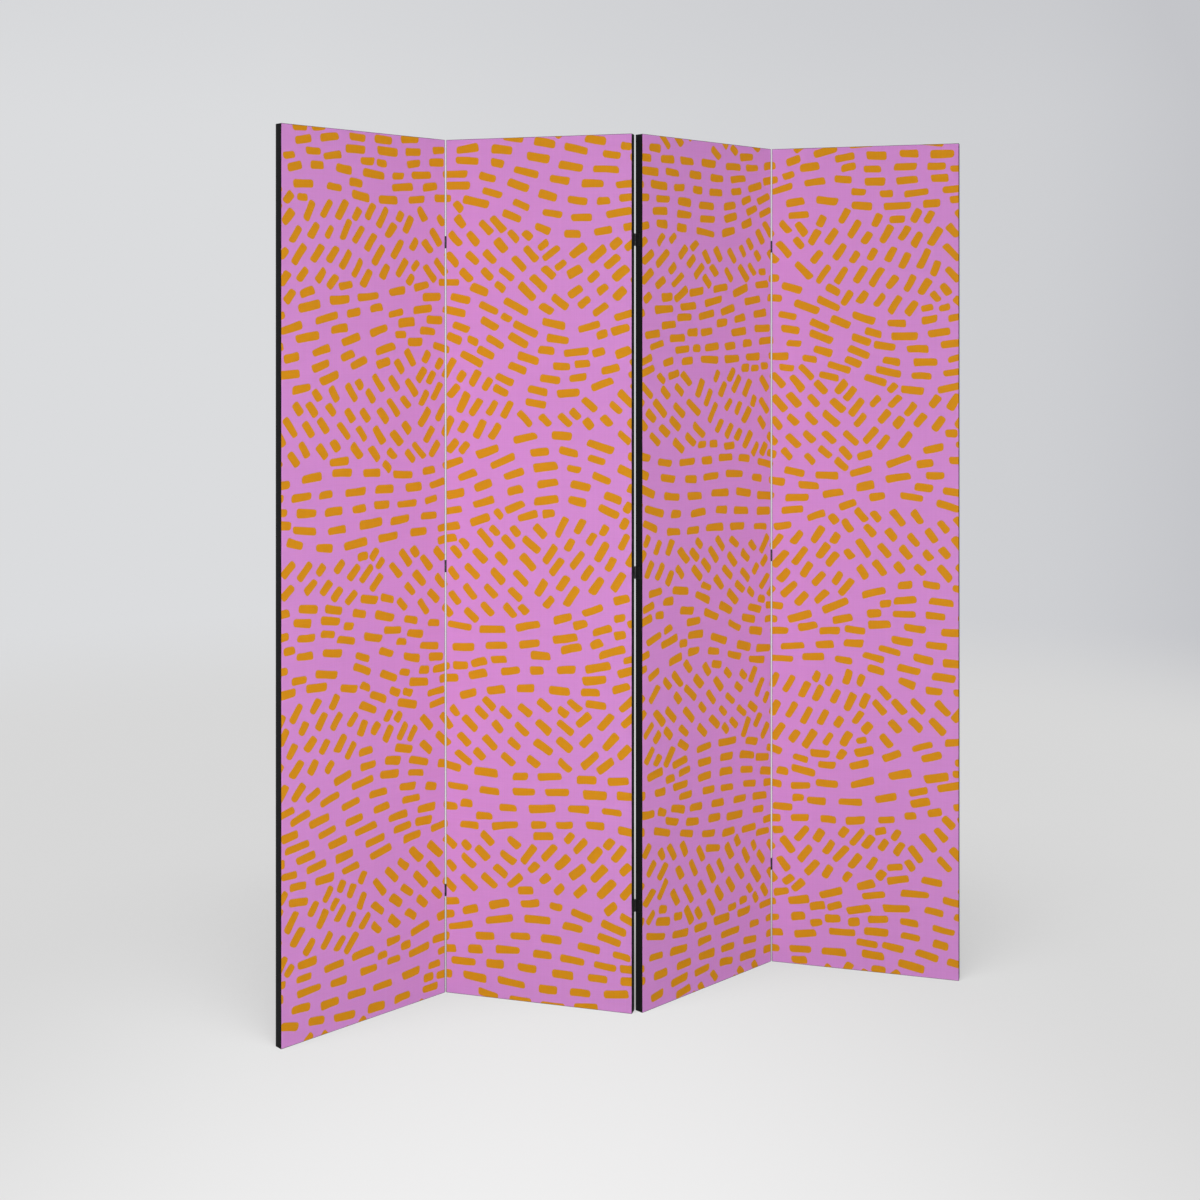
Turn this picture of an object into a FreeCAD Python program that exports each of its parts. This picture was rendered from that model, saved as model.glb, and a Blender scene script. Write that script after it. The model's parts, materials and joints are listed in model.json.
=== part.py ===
# Folding screen of four canvas panels. Each panel is printed canvas, front and back, stretched
# over a dowelled timber frame and finished round its edges with black cloth tape. Three small
# butt hinges join each panel to the next, so the screen stands in a zigzag and folds flat.
#
# Row frame: +Z up, X along the screen, the front towards -Y, the origin on the floor at the
# middle of the standing screen. Lengths are in millimetres and angles in degrees.
# Panel frame: X across the panel from its left edge, Y from its front face to its back face,
# Z up from the floor.

import FreeCAD
import Part
import Sketcher

import os

doc = FreeCAD.newDocument("FoldingScreen")

size_rows = [
    # One panel, over its edge tape, and how far each joint stands folded
    ("panel_width", "402", "width of one panel"),
    ("panel_height", "1784", "height of one panel"),
    ("panel_depth", "19", "thickness of one panel"),
    ("fold_angle", "60", "fold of each joint as the screen stands, 0 when flat"),
    # Covering
    ("tape_thickness", "0.5", "edge tape"),
    ("canvas_thickness", "0.5", "printed canvas"),
    ("seam_gap", "1", "bare strip between the turned edges of the two canvases"),
    # Timber frame
    ("stile_width", "35", "stiles"),
    ("top_rail_width", "35", "top rail"),
    ("bottom_rail_width", "40", "bottom rail"),
    ("cross_bar_width", "30", "cross bars"),
    ("cross_bar_inset", "2", "how far a cross bar stays back from each canvas"),
    ("low_cross_bar_share", "0.335", "height of the lower cross bar"),
    ("high_cross_bar_share", "0.665", "height of the upper cross bar"),
    # Dowels of the frame's corners and cross bars
    ("dowel_diameter", "8", "dowel"),
    ("dowel_length", "40", "dowel, half of it in each piece"),
    ("dowel_chamfer", "1", "chamfer of a dowel's ends"),
    ("dowel_spacing", "17", "between the two dowels of one joint"),
    ("dowel_clearance", "0.05", "round a dowel"),
    ("dowel_end_gap", "1", "glue space past a dowel's end"),
    # Staples that hold the turned edges of both canvases
    ("staple_crown", "12", "outer width of a staple"),
    ("staple_leg", "8", "length of a leg"),
    ("staple_thickness", "0.5", "wire, across the crown"),
    ("staple_width", "1.2", "wire, along the edge it holds"),
    ("staple_clearance", "0.05", "round a staple"),
    ("staple_margin", "60", "from the end of a bar to its first staple"),
    ("side_staple_count", "10", "staples on each side edge"),
    ("end_staple_count", "3", "staples on the top edge and on the bottom edge"),
    # Hinges
    ("hinge_height", "25", "length of a hinge along its pin"),
    ("low_hinge_share", "0.12", "height of the lowest hinge"),
    ("middle_hinge_share", "0.5", "height of the middle hinge"),
    ("high_hinge_share", "0.88", "height of the highest hinge"),
    ("leaf_thickness", "0.7", "sheet of a hinge leaf"),
    ("leaf_reach", "13", "from the pin's axis to the far edge of a leaf"),
    ("pin_diameter", "1.3", "hinge pin"),
    ("pin_clearance", "0.05", "round the pin in the knuckles"),
    ("pin_head_diameter", "2.1", "peened end of a pin"),
    ("pin_head_height", "0.4", "peened end of a pin"),
    ("pin_end_gap", "0.05", "between a peened end and the knuckle"),
    ("pin_offset", "0.3", "from the face of a panel out to the pin's axis"),
    ("knuckle_gap", "0.15", "between one knuckle and the next"),
    ("knuckle_clearance", "0.15", "round a knuckle in the notch of the other leaf"),
    ("barrel_clearance", "0.1", "between the barrel and the edge of a panel"),
    # Countersunk screws of the hinges
    ("screw_diameter", "2.6", "shank of a screw"),
    ("screw_length", "12", "screw, with its head"),
    ("screw_point", "3", "tapered end of a screw"),
    ("screw_spacing", "14", "between the two screws of one leaf"),
    ("screw_inset", "8", "from the pin's axis to the screws"),
    ("screw_clearance", "0.05", "round a screw and its head"),
    ("recess_length", "2.2", "cross recess of a screw"),
    ("recess_width", "0.5", "cross recess of a screw"),
    ("recess_depth", "0.45", "cross recess of a screw"),
    # How far a cutting shape runs past what it cuts
    ("overrun", "1", "past the face of the piece"),
]

# Sizes that follow from those above
layout_rows = [
    ("skin", "size.tape_thickness + size.canvas_thickness"),
    ("frame_width", "size.panel_width - 2 * skin"),
    ("frame_height", "size.panel_height - 2 * skin"),
    ("flap_depth", "(size.panel_depth - size.seam_gap) / 2"),
    ("rail_length", "frame_width - 2 * size.stile_width"),
    ("bore_radius", "size.pin_diameter / 2 + size.pin_clearance"),
    ("barrel_radius", "bore_radius + size.leaf_thickness"),
    ("pin_setback", "barrel_radius + size.barrel_clearance"),
    ("knuckle_length", "(size.hinge_height - 2 * size.knuckle_gap) / 3"),
    ("screw_head_radius", "size.screw_diameter / 2 + size.leaf_thickness"),
    ("half_fold", "size.fold_angle / 2"),
    # Plan position of the two front joints, from the joint at the middle of the screen
    ("pin_span", "size.panel_width + 2 * pin_setback"),
    ("pin_rise", "size.panel_depth + 2 * size.pin_offset"),
    ("joint_x", "pin_span * cos(half_fold * 1 deg) + pin_rise * sin(half_fold * 1 deg)"),
    ("joint_y", "(pin_span * sin(half_fold * 1 deg) - pin_rise * cos(half_fold * 1 deg)) / 2"),
]

size = doc.addObject("Spreadsheet::Sheet", "size")
for row, (alias, value, note) in enumerate(size_rows, start=1):
    size.set(f"A{row}", note)
    size.set(f"B{row}", value)
    size.setAlias(f"B{row}", alias)

layout = doc.addObject("Spreadsheet::Sheet", "layout")
for row, (alias, formula) in enumerate(layout_rows, start=1):
    layout.set(f"A{row}", alias)
    layout.set(f"B{row}", f"={formula}")
    layout.setAlias(f"B{row}", alias)
doc.recompute()


# Values and places, written as expressions of the two sheets

def value_of(text):
    return float(size.evalExpression(text))


def place(x="0", y="0", z="0", axis="0; 0; 1", turn="0"):
    return f"placement(vector({x}; {y}; {z}); rotation(vector({axis}); {turn}))"


# Solids and groups of solids

def block(name, low, high):
    box = doc.addObject("Part::Box", name)
    for side, start, end in zip(("Length", "Width", "Height"), low, high):
        box.setExpression(side, f"{end} - ({start})")
    box.setExpression("Placement", place(*low))
    return box


def group(name, pieces):
    pack = doc.addObject("Part::Compound", name)
    pack.Links = pieces
    return pack


def copies(name, master, places):
    links = []
    for number, where in enumerate(places, start=1):
        link = doc.addObject("App::Link", f"{name}_{number}")
        link.LinkedObject = master
        link.setExpression("Placement", where)
        links.append(link)
    return links


def cut(name, base, tool):
    piece = doc.addObject("Part::Cut", name)
    piece.Base = base
    piece.Tool = tool
    return piece


# Sketches and the features made from them

def new_sketch(body, name, role):
    sketch = body.newObject("Sketcher::SketchObject", name)
    plane = next(item for item in body.Origin.OriginFeatures if item.Role == role)
    sketch.AttachmentSupport = (plane, [""])
    sketch.MapMode = "FlatFace"
    return sketch


def fix_point(sketch, shape, end, x, y):
    # Ties one point of a sketch to the sketch's origin.
    for kind, text, axis in (("DistanceX", x, -2), ("DistanceY", y, -1)):
        if text == "0":
            sketch.addConstraint(Sketcher.Constraint("PointOnObject", shape, end, axis))
            continue
        rule = Sketcher.Constraint(kind, -1, 1, shape, end, value_of(text))
        index = sketch.addConstraint(rule)
        sketch.setExpression(f"Constraints[{index}]", text)


def outline(sketch, points):
    first = sketch.GeometryCount
    spots = [FreeCAD.Vector(value_of(x), value_of(y), 0) for x, y in points]
    for here, there in zip(spots, spots[1:] + spots[:1]):
        sketch.addGeometry(Part.LineSegment(here, there), False)
    for step, (x, y) in enumerate(points):
        line, before = first + step, first + (step - 1) % len(points)
        sketch.addConstraint(Sketcher.Constraint("Coincident", before, 2, line, 1))
        fix_point(sketch, line, 1, x, y)


def circle(sketch, x, y, radius):
    centre = FreeCAD.Vector(value_of(x), value_of(y), 0)
    shape = sketch.addGeometry(Part.Circle(centre, FreeCAD.Vector(0, 0, 1), value_of(radius)), False)
    fix_point(sketch, shape, 3, x, y)
    index = sketch.addConstraint(Sketcher.Constraint("Radius", shape, value_of(radius)))
    sketch.setExpression(f"Constraints[{index}]", radius)


def both_sides(feature, length=None):
    # A pad or pocket that runs the same way on both sides of its sketch.
    feature.Midplane = True
    if length:
        feature.setExpression("Length", length)
    else:
        feature.Type = "ThroughAll"


def new_pad(body, name, sketch, length):
    pad = body.newObject("PartDesign::Pad", name)
    pad.Profile = sketch
    both_sides(pad, length)
    return pad


def new_revolution(body, name, sketch, axis):
    turned = body.newObject("PartDesign::Revolution", name)
    turned.Profile = sketch
    turned.ReferenceAxis = (sketch, [axis])
    turned.Angle = 360
    return turned


# Fasteners and hinge pieces, each made once here and copied into its groups below

def make_dowel():
    # A round beech peg along X, centred on the joint.
    body = doc.addObject("PartDesign::Body", "Dowel")
    sketch = new_sketch(body, "DowelProfile", "XY_Plane")
    half, radius, bevel = "size.dowel_length / 2", "size.dowel_diameter / 2", "size.dowel_chamfer"
    outline(sketch, [
        (f"-{half}", "0"),
        (f"-{half}", f"{radius} - {bevel}"),
        (f"-{half} + {bevel}", radius),
        (f"{half} - {bevel}", radius),
        (half, f"{radius} - {bevel}"),
        (half, "0"),
    ])
    new_revolution(body, "DowelTurning", sketch, "H_Axis")
    return body


def make_dowel_hole():
    body = doc.addObject("PartDesign::Body", "DowelHole")
    sketch = new_sketch(body, "DowelHoleOutline", "YZ_Plane")
    circle(sketch, "0", "0", "size.dowel_diameter / 2 + size.dowel_clearance")
    new_pad(body, "DowelHoleBore", sketch, "size.dowel_length + 2 * size.dowel_end_gap")
    return body


def make_staple(name, clearance, outer):
    # A U of flat wire: the crown along Y with its outer face at X = 0, the legs along +X.
    body = doc.addObject("PartDesign::Body", name)
    sketch = new_sketch(body, f"{name}Profile", "XY_Plane")
    edge = f"(size.staple_crown / 2 + {clearance})"
    inner = f"({edge} - size.staple_thickness - 2 * {clearance})"
    seat, tip = f"size.staple_thickness + {clearance}", f"size.staple_leg + {clearance}"
    outline(sketch, [
        (outer, f"-{edge}"),
        (tip, f"-{edge}"),
        (tip, f"-{inner}"),
        (seat, f"-{inner}"),
        (seat, inner),
        (tip, inner),
        (tip, edge),
        (outer, edge),
    ])
    new_pad(body, f"{name}Wire", sketch, f"size.staple_width + 2 * {clearance}")
    return body


def make_screw():
    # A countersunk wood screw along -X, the face of its head at X = 0.
    body = doc.addObject("PartDesign::Body", "Screw")
    sketch = new_sketch(body, "ScrewProfile", "XY_Plane")
    shank = "size.screw_diameter / 2"
    outline(sketch, [
        ("0", "0"),
        ("0", "layout.screw_head_radius"),
        ("-size.leaf_thickness", shank),
        ("-(size.screw_length - size.screw_point)", shank),
        ("-size.screw_length", "0"),
    ])
    new_revolution(body, "ScrewTurning", sketch, "H_Axis")
    cross = new_sketch(body, "ScrewCross", "YZ_Plane")
    far, near = "size.recess_length / 2", "size.recess_width / 2"
    quarter = [(far, near), (near, near), (near, far)]
    points = []
    for x_sign, y_sign, order in (("", "", 1), ("-", "", -1), ("-", "-", 1), ("", "-", -1)):
        points += [(f"{x_sign}{x}", f"{y_sign}{y}") for x, y in quarter[::order]]
    outline(cross, points)
    recess = body.newObject("PartDesign::Pocket", "ScrewRecess")
    recess.Profile = cross
    recess.setExpression("Length", "size.recess_depth")
    return body


def make_screw_hole():
    # The hole for a screw in a panel, along +X from the panel's edge at X = 0.
    body = doc.addObject("PartDesign::Body", "ScrewHole")
    sketch = new_sketch(body, "ScrewHoleOutline", "YZ_Plane")
    sketch.setExpression("AttachmentOffset", place(z="-size.overrun"))
    circle(sketch, "0", "0", "size.screw_diameter / 2 + size.screw_clearance")
    bore = body.newObject("PartDesign::Pad", "ScrewHoleBore")
    bore.Profile = sketch
    bore.setExpression("Length", "size.screw_length + size.overrun")
    return body


def make_pin():
    # The hinge pin along Z, centred on the hinge, with a peened end past each outer knuckle.
    body = doc.addObject("PartDesign::Body", "Pin")
    sketch = new_sketch(body, "PinProfile", "XZ_Plane")
    shank, head = "size.pin_diameter / 2", "size.pin_head_diameter / 2"
    seat = "(size.hinge_height / 2 + size.pin_end_gap)"
    end = f"({seat} + size.pin_head_height)"
    outline(sketch, [
        ("0", f"-{end}"),
        (shank, f"-{end}"),
        (head, f"-{seat}"),
        (shank, f"-{seat}"),
        (shank, seat),
        (head, seat),
        (shank, end),
        ("0", end),
    ])
    new_revolution(body, "PinTurning", sketch, "V_Axis")
    return body


def make_leaf(name, notches):
    # One hinge leaf. The pin's axis is Z, the leaf lies against the panel on the -X side and
    # reaches along +Y over the panel's edge. Each notch is a stretch of the height, from the
    # hinge's middle, that belongs to a knuckle of the other leaf.
    body = doc.addObject("PartDesign::Body", name)
    plate = new_sketch(body, f"{name}PlateOutline", "XY_Plane")
    outline(plate, [
        ("-layout.pin_setback", "0"),
        ("-layout.pin_setback + size.leaf_thickness", "0"),
        ("-layout.pin_setback + size.leaf_thickness", "size.leaf_reach"),
        ("-layout.pin_setback", "size.leaf_reach"),
    ])
    new_pad(body, f"{name}Plate", plate, "size.hinge_height")
    ring = new_sketch(body, f"{name}BarrelOutline", "XY_Plane")
    circle(ring, "0", "0", "layout.barrel_radius")
    new_pad(body, f"{name}Barrel", ring, "size.hinge_height")

    gaps = new_sketch(body, f"{name}NotchOutline", "YZ_Plane")
    back = "-(layout.barrel_radius + size.overrun)"
    front = "layout.barrel_radius + size.knuckle_clearance"
    for low, high in notches:
        outline(gaps, [(back, low), (front, low), (front, high), (back, high)])
    notch = body.newObject("PartDesign::Pocket", f"{name}Notches")
    notch.Profile = gaps
    both_sides(notch)

    bore = new_sketch(body, f"{name}BoreOutline", "XY_Plane")
    circle(bore, "0", "0", "layout.bore_radius")
    tube = body.newObject("PartDesign::Pocket", f"{name}Bore")
    tube.Profile = bore
    both_sides(tube)
    doc.recompute()

    # The countersunk holes open on the face of the leaf that looks at the other leaf.
    marks = new_sketch(body, f"{name}ScrewMarks", "YZ_Plane")
    marks.setExpression("AttachmentOffset", place(z="size.leaf_thickness - layout.pin_setback"))
    radius = "size.screw_diameter / 2 + size.screw_clearance"
    for z in ("-size.screw_spacing / 2", "size.screw_spacing / 2"):
        circle(marks, "size.screw_inset", z, radius)
    doc.recompute()
    hole = body.newObject("PartDesign::Hole", f"{name}ScrewHoles")
    hole.Profile = marks
    hole.Threaded = False
    hole.DepthType = "ThroughAll"
    hole.HoleCutType = "Countersink"
    hole.HoleCutCountersinkAngle = 90
    hole.setExpression("Diameter", f"2 * ({radius})")
    hole.setExpression("HoleCutDiameter", "2 * (layout.screw_head_radius + size.screw_clearance)")
    return body


dowel = make_dowel()
dowel_hole = make_dowel_hole()
staple = make_staple("Staple", "0", "0")
staple_slot = make_staple("StapleSlot", "size.staple_clearance", "-size.overrun")
screw = make_screw()
screw_hole = make_screw_hole()
pin = make_pin()

# The first leaf has the two outer knuckles and the second leaf the middle one.
middle_edge = "layout.knuckle_length / 2"
notch_edge = f"({middle_edge} + size.knuckle_gap)"
past_end = "(size.hinge_height / 2 + size.overrun)"
outer_leaf = make_leaf("OuterLeaf", [(f"-{notch_edge}", notch_edge)])
inner_leaf = make_leaf("InnerLeaf", [
    (f"-{past_end}", f"-{middle_edge}"),
    (middle_edge, past_end),
])

# Places in a panel's own frame

hinge_heights = [
    f"size.panel_height * size.{share}"
    for share in ("low_hinge_share", "middle_hinge_share", "high_hinge_share")
]
screw_heights = [
    f"{height} {sign} size.screw_spacing / 2"
    for height in hinge_heights
    for sign in "-+"
]
middle_depth = "size.panel_depth / 2"
frame_top = "(layout.skin + layout.frame_height)"
low_middle = "size.panel_height * size.low_cross_bar_share"
high_middle = "size.panel_height * size.high_cross_bar_share"
half_bar = "size.cross_bar_width / 2"
# Lower edge and upper edge of each bar between the stiles, and how far it stays back from
# the canvases
bars = {
    "bottom_rail": ("layout.skin", "layout.skin + size.bottom_rail_width", "0"),
    "lower_cross_bar": (f"{low_middle} - {half_bar}", f"{low_middle} + {half_bar}",
                        "size.cross_bar_inset"),
    "upper_cross_bar": (f"{high_middle} - {half_bar}", f"{high_middle} + {half_bar}",
                        "size.cross_bar_inset"),
    "top_rail": (f"{frame_top} - size.top_rail_width", frame_top, "0"),
}
# Outer and inner edge of each stile
stile_edges = {
    "left": ("layout.skin", "layout.skin + size.stile_width"),
    "right": ("size.panel_width - layout.skin",
              "size.panel_width - layout.skin - size.stile_width"),
}
# Turn about Y that points a staple or a screw hole from an edge into the panel
inward_turns = {"left": "0", "right": "180", "bottom_rail": "-90", "top_rail": "90"}


def into_panel(edge, x, depth, z):
    return place(x, depth, z, "0; 1; 0", inward_turns[edge])


def spread(count, length):
    # Places of a row of staples, from one end of a bar of the frame
    step = f"({length} - 2 * size.staple_margin) / ({count} - 1)"
    number = round(value_of(count))
    return [f"layout.skin + size.staple_margin + {index} * {step}" for index in range(number)]


def staple_places(edge):
    # The outer face of each crown is level with the canvas, under the tape.
    if edge in stile_edges:
        x = "size.tape_thickness" if edge == "left" else "size.panel_width - size.tape_thickness"
        heights = spread("size.side_staple_count", "layout.frame_height")
        return [into_panel(edge, x, middle_depth, z) for z in heights]
    low = edge == "bottom_rail"
    z = "size.tape_thickness" if low else "size.panel_height - size.tape_thickness"
    across = spread("size.end_staple_count", "layout.frame_width")
    return [into_panel(edge, x, middle_depth, z) for x in across]


def dowel_places(bar, side):
    low, high, inset = bars[bar]
    inner_edge = stile_edges[side][1]
    return [place(inner_edge, middle_depth, f"({low} + {high}) / 2 {sign} size.dowel_spacing / 2")
            for sign in "-+"]


def pin_depth(face):
    return "-size.pin_offset" if face == "front" else "(size.panel_depth + size.pin_offset)"


def screw_hole_places(side, face):
    x = "0" if side == "left" else "size.panel_width"
    sign = "+" if face == "front" else "-"
    depth = f"{pin_depth(face)} {sign} size.screw_inset"
    return [into_panel(side, x, depth, z) for z in screw_heights]


nodes = []


def finish(piece, frame, where=place()):
    # A finished sub-part, which is set into its panel's place in the standing screen
    piece.setExpression("Placement", f"{frame.Name}.Placement * {where}")
    nodes.append(piece)


# The pieces of one panel

def make_stiles(name, frame, slots, peg_holes, screw_holes):
    for side, (outer, inner) in stile_edges.items():
        start, end = (outer, inner) if side == "left" else (inner, outer)
        blank = block(f"{name}_{side}_stile_blank", (start, "size.canvas_thickness", "layout.skin"),
                      (end, "size.panel_depth - size.canvas_thickness", frame_top))
        holes = slots[side] + screw_holes.get(side, [])
        for bar in bars:
            holes = holes + peg_holes[bar, side]
        drills = group(f"{name}_{side}_stile_drills", holes)
        finish(cut(f"{name}_{side}_stile", blank, drills), frame)


def make_bars(name, frame, slots, peg_holes):
    start, end = stile_edges["left"][1], stile_edges["right"][1]
    for bar, (low, high, inset) in bars.items():
        back = f"size.canvas_thickness + {inset}"
        blank = block(f"{name}_{bar}_blank", (start, back, low),
                      (end, f"size.panel_depth - ({back})", high))
        holes = peg_holes[bar, "left"] + peg_holes[bar, "right"] + slots.get(bar, [])
        finish(cut(f"{name}_{bar}", blank, group(f"{name}_{bar}_drills", holes)), frame)


def make_fixings(name, frame):
    pegs = [where for bar in bars for side in stile_edges for where in dowel_places(bar, side)]
    finish(group(f"{name}_dowels", copies(f"{name}_dowel", dowel, pegs)), frame)
    wires = [where for edge in inward_turns for where in staple_places(edge)]
    finish(group(f"{name}_staples", copies(f"{name}_staple", staple, wires)), frame)


def make_canvases(name, frame, slots, screw_holes):
    # Each canvas is turned over all four edges of the frame, up to the seam.
    tape, cloth, flap = "size.tape_thickness", "size.canvas_thickness", "layout.flap_depth"
    depths = {
        "front": ("0", flap, cloth, f"{flap} + size.overrun"),
        "back": (f"size.panel_depth - {flap}", "size.panel_depth",
                 f"size.panel_depth - {flap} - size.overrun", f"size.panel_depth - {cloth}"),
    }
    holes = [hole for row in (*slots.values(), *screw_holes.values()) for hole in row]
    drills = group(f"{name}_canvas_drills", holes)
    for face, (low, high, inner_low, inner_high) in depths.items():
        sheet = block(f"{name}_{face}_canvas_sheet", (tape, low, tape),
                      (f"size.panel_width - {tape}", high, f"size.panel_height - {tape}"))
        room = block(f"{name}_{face}_canvas_room", ("layout.skin", inner_low, "layout.skin"),
                     ("size.panel_width - layout.skin", inner_high, frame_top))
        tray = cut(f"{name}_{face}_canvas_tray", sheet, room)
        finish(cut(f"{name}_{face}_canvas", tray, drills), frame)


def make_tape(name, frame, screw_holes):
    # The tape covers the full thickness of the panel along its sides, its top and its foot.
    tape, depth = "size.tape_thickness", "size.panel_depth"
    far_side, far_end = f"size.panel_width - {tape}", f"size.panel_height - {tape}"
    strips = [
        block(f"{name}_foot_tape", (tape, "0", "0"), (far_side, depth, tape)),
        block(f"{name}_top_tape", (tape, "0", far_end), (far_side, depth, "size.panel_height")),
    ]
    for side, start, end in (("left", "0", tape), ("right", far_side, "size.panel_width")):
        strip = block(f"{name}_{side}_tape", (start, "0", "0"), (end, depth, "size.panel_height"))
        if side in screw_holes:
            drills = group(f"{name}_{side}_tape_drills", screw_holes[side])
            strip = cut(f"{name}_{side}_tape_drilled", strip, drills)
        strips.append(strip)
    finish(group(f"{name}_edge_tape", strips), frame)


def make_panel(name, frame, hinge_faces):
    slots = {
        edge: copies(f"{name}_{edge}_slot", staple_slot, staple_places(edge))
        for edge in inward_turns
    }
    peg_holes = {
        (bar, side): copies(f"{name}_{bar}_{side}_hole", dowel_hole, dowel_places(bar, side))
        for bar in bars
        for side in stile_edges
    }
    screw_holes = {
        side: copies(f"{name}_{side}_screw_hole", screw_hole, screw_hole_places(side, face))
        for side, face in hinge_faces.items()
    }
    make_stiles(name, frame, slots, peg_holes, screw_holes)
    make_bars(name, frame, slots, peg_holes)
    make_fixings(name, frame)
    make_canvases(name, frame, slots, screw_holes)
    make_tape(name, frame, screw_holes)


# The hinge leaves and screws on one edge of a panel, and the pins that the leaves turn on

# Turn of a leaf, from the right edge and the front face to each edge and face
leaf_turns = {
    ("right", "front"): ("0; 0; 1", "0"),
    ("left", "front"): ("0; 1; 0", "180"),
    ("right", "back"): ("1; 0; 0", "180"),
    ("left", "back"): ("0; 0; 1", "180"),
}


def make_hinge_side(name, side, face, frame):
    leaf = outer_leaf if side == "right" else inner_leaf
    axis, turn = leaf_turns[side, face]
    pin_x = "size.panel_width + layout.pin_setback" if side == "right" else "-layout.pin_setback"
    where = place(pin_x, pin_depth(face))
    leaf_places = [place(z=height, axis=axis, turn=turn) for height in hinge_heights]
    label = f"{name}_{side}_hinge_leaves"
    finish(group(label, copies(f"{label}_leaf", leaf, leaf_places)), frame, where)
    head = place("size.leaf_thickness - layout.pin_setback", "size.screw_inset")
    screw_places = [f"{place(z=height, axis=axis, turn=turn)} * {head}" for height in screw_heights]
    label = f"{name}_{side}_hinge_screws"
    finish(group(label, copies(f"{label}_screw", screw, screw_places)), frame, where)


def make_pins(name, face, frame):
    where = place("size.panel_width + layout.pin_setback", pin_depth(face))
    pin_places = [place(z=height) for height in hinge_heights]
    finish(group(name, copies(f"{name}_pin", pin, pin_places)), frame, where)


# The four panels stand in a zigzag. Panels 1 and 2 hang on one front joint, panels 3 and 4 on
# the other, and panels 2 and 3 meet at the joint in the middle, which is at their back.

def make_frame(number):
    frame = doc.addObject("Part::LocalCoordinateSystem", f"panel_{number}_frame")
    joint_x = "-layout.joint_x" if number < 3 else "layout.joint_x"
    if number % 2:
        turn, corner_x = "layout.half_fold", "-(size.panel_width + layout.pin_setback)"
    else:
        turn, corner_x = "-layout.half_fold", "layout.pin_setback"
    joint = place(joint_x, "layout.joint_y", turn=turn)
    frame.setExpression("Placement", f"{joint} * {place(corner_x, 'size.pin_offset')}")
    return frame


# Face that the hinges between a panel and the next lie at
joint_faces = {1: "front", 2: "back", 3: "front"}
for number in (1, 2, 3, 4):
    name = f"panel_{number}"
    frame = make_frame(number)
    faces = {"left": joint_faces.get(number - 1), "right": joint_faces.get(number)}
    faces = {side: face for side, face in faces.items() if face}
    make_panel(name, frame, faces)
    for side, face in faces.items():
        make_hinge_side(name, side, face, frame)
    if number in joint_faces:
        make_pins(f"hinge_pins_{number}_{number + 1}", joint_faces[number], frame)

doc.recompute()
for item in doc.Objects:
    if "Invalid" in item.State or "Error" in item.State:
        raise ValueError(f"{item.Label} failed: {item.State}")
for piece in nodes:
    if piece.Shape.isNull() or not piece.Shape.isValid():
        raise ValueError(f"{piece.Label} has no valid shape")

os.makedirs("parts", exist_ok=True)
for piece in nodes:
    piece.Shape.exportStep(f"parts/{piece.Label}.step")
print(len(nodes), "nodes,", sum(len(piece.Shape.Solids) for piece in nodes), "solids")
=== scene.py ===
import json
import math
import random

import bpy
import numpy as np
from mathutils import Matrix, Vector
from mathutils.geometry import delaunay_2d_cdt


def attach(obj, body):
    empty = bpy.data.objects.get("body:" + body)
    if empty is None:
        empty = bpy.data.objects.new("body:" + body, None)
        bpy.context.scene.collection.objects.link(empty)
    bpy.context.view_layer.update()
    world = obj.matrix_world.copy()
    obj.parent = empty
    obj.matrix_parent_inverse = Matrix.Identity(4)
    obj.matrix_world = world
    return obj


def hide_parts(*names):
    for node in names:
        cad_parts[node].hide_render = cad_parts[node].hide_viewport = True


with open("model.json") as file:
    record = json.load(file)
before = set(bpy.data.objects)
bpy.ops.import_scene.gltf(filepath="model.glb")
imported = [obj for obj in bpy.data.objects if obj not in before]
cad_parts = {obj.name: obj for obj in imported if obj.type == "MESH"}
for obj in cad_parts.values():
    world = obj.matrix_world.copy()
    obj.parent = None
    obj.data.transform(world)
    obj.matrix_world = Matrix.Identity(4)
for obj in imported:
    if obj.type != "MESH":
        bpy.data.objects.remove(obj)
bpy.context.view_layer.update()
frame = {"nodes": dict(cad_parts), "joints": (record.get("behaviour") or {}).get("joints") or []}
print("frame loaded:", len(frame["nodes"]), "nodes")

# The standing screen, in mm and degrees, as the CAD has it. A panel's own frame has X across
# its front from the left edge, Y from the front face to the back face, and Z up.
screen = {
    "width": 402,
    "height": 1784,
    "depth": 19,
    "tape": 0.5,            # thickness of the edge tape
    "cloth": 0.5,           # thickness of a canvas
    "fold": 60,
    "pinSetback": 1.5,
    "pinOffset": 0.3,
    "hingeShares": (0.12, 0.5, 0.88),
    "panels": (1, 2, 3, 4),
}
# Which face the hinge pins are on, at each jointed edge of each panel
hingeFaces = {
    1: {"right": "front"},
    2: {"left": "front", "right": "back"},
    3: {"left": "back", "right": "front"},
    4: {"left": "front"},
}
jointPlaces = {joint["name"]: Vector(joint["pos_m"]) for joint in frame["joints"]}
toMetres = 0.001


def faceEdges():
    # where a canvas ends on its face, inside the tape: left edge and foot, right edge, top
    return screen["tape"], screen["width"] - screen["tape"], screen["height"] - screen["tape"]


def leanSign(number):
    # 1 for the panels whose right edge stands farther back, and -1 for the other two
    return 1 if number in (1, 3) else -1


def panelTurn(sign):
    return sign * math.radians(screen["fold"] / 2)


def panelPlace(number):
    pin = jointPlaces["fold_1_2" if number < 3 else "fold_3_4"] * Vector((1, 1, 0))
    pinAt = screen["width"] + screen["pinSetback"] if leanSign(number) > 0 else -screen["pinSetback"]
    shift = Vector((-pinAt, screen["pinOffset"], 0)) * toMetres
    turn = Matrix.Rotation(panelTurn(leanSign(number)), 4, "Z")
    return Matrix.Translation(pin) @ turn @ Matrix.Translation(shift)


# Node helpers

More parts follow.
